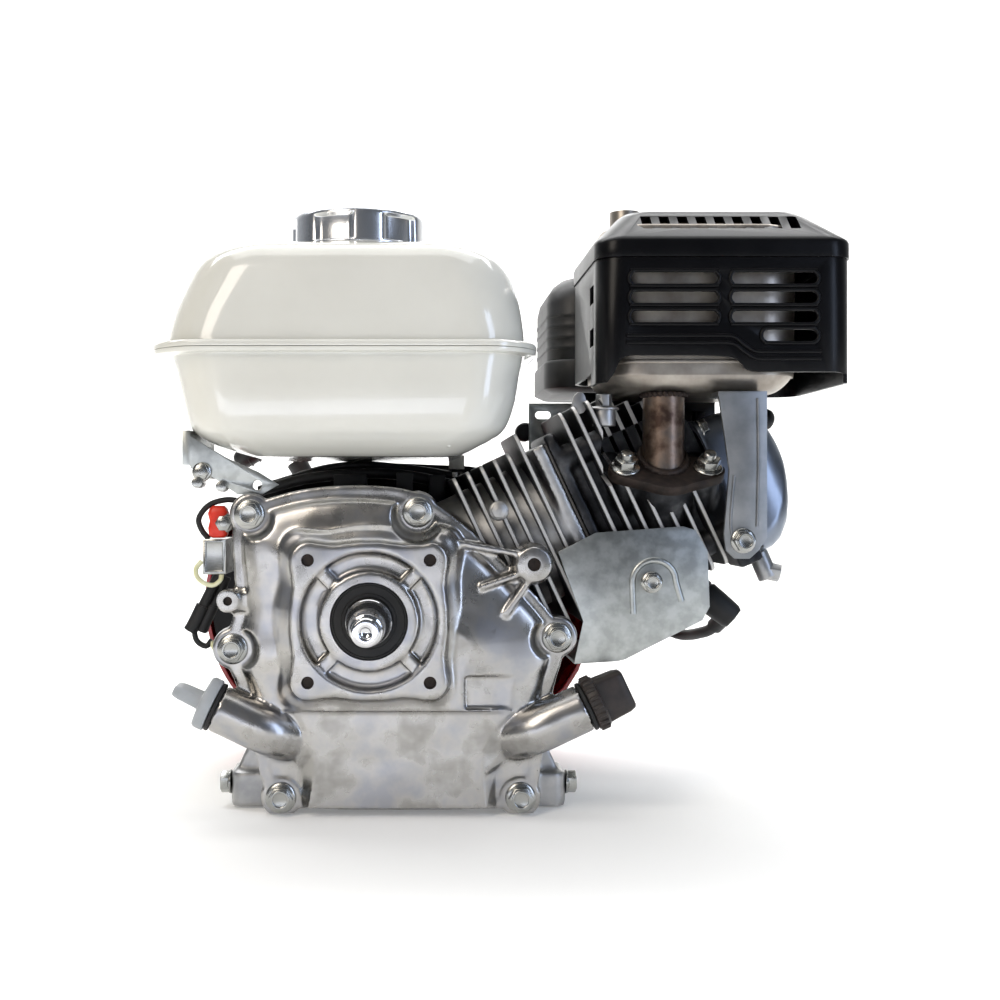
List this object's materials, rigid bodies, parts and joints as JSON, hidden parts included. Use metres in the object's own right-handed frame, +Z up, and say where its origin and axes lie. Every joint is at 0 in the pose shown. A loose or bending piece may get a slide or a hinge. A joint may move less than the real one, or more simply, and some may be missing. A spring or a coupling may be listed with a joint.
{
  "type": "small gasoline engine",
  "caption": "Air-cooled single-cylinder gasoline engine with a leaning finned barrel, drive pad and tapered shaft, tank on top, guarded muffler and recoil starter.",
  "frame": {"origin": "on the base plane, straight under the crank axis and midway between the front and rear base slots", "axes": "-Y along the drive end of the shaft, +Z up, +X towards the cylinder head"},
  "size_m": [0.386, 0.317, 0.344],
  "materials": {
    "cast_aluminium": "satin",
    "silver_paint": "satin",
    "zinc_steel": "satin",
    "bright_steel": "gloss",
    "chrome": "gloss",
    "scaled_steel": "satin",
    "muffler_steel": "satin",
    "black_enamel": "satin",
    "black_plastic": "matte",
    "rubber": "matte",
    "red_enamel": "gloss",
    "white_enamel": "gloss",
    "grey_plastic": "matte",
    "brown_plastic": "matte",
    "red_plastic": "matte",
    "filter_foam": "matte",
    "ceramic": "gloss"
  },
  "bodies": {
    "root": {"crankcase": "cast_aluminium", "side_cover": "cast_aluminium", "side_cover_gasket": "rubber", "shaft_seal": "rubber", "drive_side_bearing": "bright_steel", "fan_side_bearing": "bright_steel", "cylinder_head": "cast_aluminium", "head_gasket": "rubber", "rocker_cover": "silver_paint", "exhaust_pipe": "scaled_steel", "muffler_body": "muffler_steel", "muffler_guard": "black_enamel", "muffler_guard_lid": "black_enamel", "muffler_strap": "zinc_steel", "cylinder_shroud": "zinc_steel", "fuel_tank_lower": "white_enamel", "fuel_tank_upper": "white_enamel", "tank_bracket": "cast_aluminium", "fan_cover": "red_enamel", "recoil_case": "red_enamel", "air_cleaner_base": "black_plastic", "filter_element": "filter_foam", "carburetor": "cast_aluminium", "intake_insulator": "black_plastic", "control_bracket": "zinc_steel", "spark_plug": "ceramic", "fuel_hose": "rubber", "breather_hose": "rubber", "oil_level_unit": "zinc_steel", "stop_switch_body": "black_plastic", "drain_bolt_left": "zinc_steel", "drain_bolt_right": "zinc_steel", "piston": "cast_aluminium", "connecting_rod": "cast_aluminium", "cover_bolt_1": "zinc_steel", "cover_bolt_2": "zinc_steel", "cover_bolt_3": "zinc_steel", "cover_bolt_4": "zinc_steel", "cover_bolt_5": "zinc_steel", "cover_bolt_6": "zinc_steel"},
    "crank": {"crankshaft": "bright_steel", "big_end": "cast_aluminium", "flywheel": "cast_aluminium"},
    "cam": {"camshaft": "bright_steel"},
    "governor": {"governor_gear": "black_plastic"},
    "reel": {"starter_reel": "black_plastic"},
    "handle": {"starter_handle": "black_plastic"},
    "throttle": {"throttle_lever": "zinc_steel"},
    "choke": {"choke_lever": "black_plastic"},
    "fuel_valve": {"fuel_valve_lever": "black_plastic"},
    "stop_switch": {"stop_switch_knob": "red_plastic"},
    "fuel_cap_seat": {"fuel_cap_gasket": "rubber"},
    "fuel_cap": {"fuel_cap": "chrome"},
    "oil_cap_left_seat": {"oil_gasket_left": "rubber"},
    "oil_cap_left": {"oil_cap_left": "grey_plastic"},
    "oil_cap_right_seat": {"oil_gasket_right": "rubber"},
    "oil_cap_right": {"oil_cap_right": "brown_plastic"},
    "cleaner_cover": {"air_cleaner_cover": "black_plastic"},
    "wing_nut": {"wing_nut": "bright_steel"},
    "plug_cap": {"plug_cap": "rubber"}
  },
  "joints": [
    {"name": "crank_spin", "type": "hinge", "parent": "root", "child": "crank", "pos_m": [0, 0, 0.106], "axis": [0, 1, 0], "continuous": true},
    {"name": "cam_spin", "type": "hinge", "parent": "root", "child": "cam", "pos_m": [0.0297, 0, 0.05456], "axis": [0, 1, 0], "continuous": true},
    {"name": "governor_spin", "type": "hinge", "parent": "root", "child": "governor", "pos_m": [-0.033, 0, 0.093], "axis": [0, 1, 0], "continuous": true},
    {"name": "starter_pull", "type": "slide", "parent": "root", "child": "handle", "axis": [-0.5, 0, 0.866], "range_m": [0, 0.55], "stiffness_N_per_m": 8, "springref_m": -0.4},
    {"name": "reel_spin", "type": "hinge", "parent": "root", "child": "reel", "pos_m": [0, 0.15, 0.106], "axis": [0, 1, 0], "range_deg": [0, 800]},
    {"name": "throttle_turn", "type": "hinge", "parent": "root", "child": "throttle", "pos_m": [0.116, 0.0515, 0.214], "axis": [0, 1, 0], "range_deg": [0, 60]},
    {"name": "choke_turn", "type": "hinge", "parent": "root", "child": "choke", "pos_m": [0.144, 0.1005, 0.192], "axis": [0, 1, 0], "range_deg": [0, 50]},
    {"name": "fuel_valve_turn", "type": "hinge", "parent": "root", "child": "fuel_valve", "pos_m": [0.15, 0.1015, 0.164], "axis": [0, -1, 0], "range_deg": [0, 90]},
    {"name": "stop_switch_turn", "type": "hinge", "parent": "root", "child": "stop_switch", "pos_m": [-0.0896, 0.138, 0.0697], "axis": [0, 1, 0], "range_deg": [0, 40]},
    {"name": "fuel_cap_lift", "type": "slide", "parent": "root", "child": "fuel_cap_seat", "axis": [0, 0, 1], "range_m": [0, 0.05]},
    {"name": "fuel_cap_turn", "type": "hinge", "parent": "fuel_cap_seat", "child": "fuel_cap", "pos_m": [-0.009, 0.008, 0.33], "axis": [0, 0, 1], "range_deg": [0, 90]},
    {"name": "oil_cap_left_pull", "type": "slide", "parent": "root", "child": "oil_cap_left_seat", "axis": [-0.9063, 0, 0.4226], "range_m": [0, 0.06]},
    {"name": "oil_cap_left_turn", "type": "hinge", "parent": "oil_cap_left_seat", "child": "oil_cap_left", "pos_m": [-0.0816, -0.074, 0.058], "axis": [-0.9063, 0, 0.4226], "range_deg": [0, 900]},
    {"name": "oil_cap_right_pull", "type": "slide", "parent": "root", "child": "oil_cap_right_seat", "axis": [0.9063, 0, 0.4226], "range_m": [0, 0.04]},
    {"name": "oil_cap_right_turn", "type": "hinge", "parent": "oil_cap_right_seat", "child": "oil_cap_right", "pos_m": [0.1159, -0.074, 0.0583], "axis": [0.9063, 0, 0.4226], "range_deg": [0, 900]},
    {"name": "cleaner_cover_lift", "type": "slide", "parent": "root", "child": "cleaner_cover", "axis": [0, 0, 1], "range_m": [0, 0.09]},
    {"name": "wing_nut_turn", "type": "hinge", "parent": "cleaner_cover", "child": "wing_nut", "pos_m": [0.168, 0.101, 0.325], "axis": [0, 0, 1], "range_deg": [0, 810]},
    {"name": "plug_cap_pull", "type": "slide", "parent": "root", "child": "plug_cap", "axis": [0.7502, -0.2001, -0.6302], "range_m": [0, 0.03]}
  ],
  "couplings": [
    {"joint": "cam_spin", "follows": "crank_spin", "ratio": -0.5},
    {"joint": "governor_spin", "follows": "crank_spin", "ratio": -1.5},
    {"joint": "reel_spin", "follows": "starter_pull", "rad_per_m": 25}
  ]
}
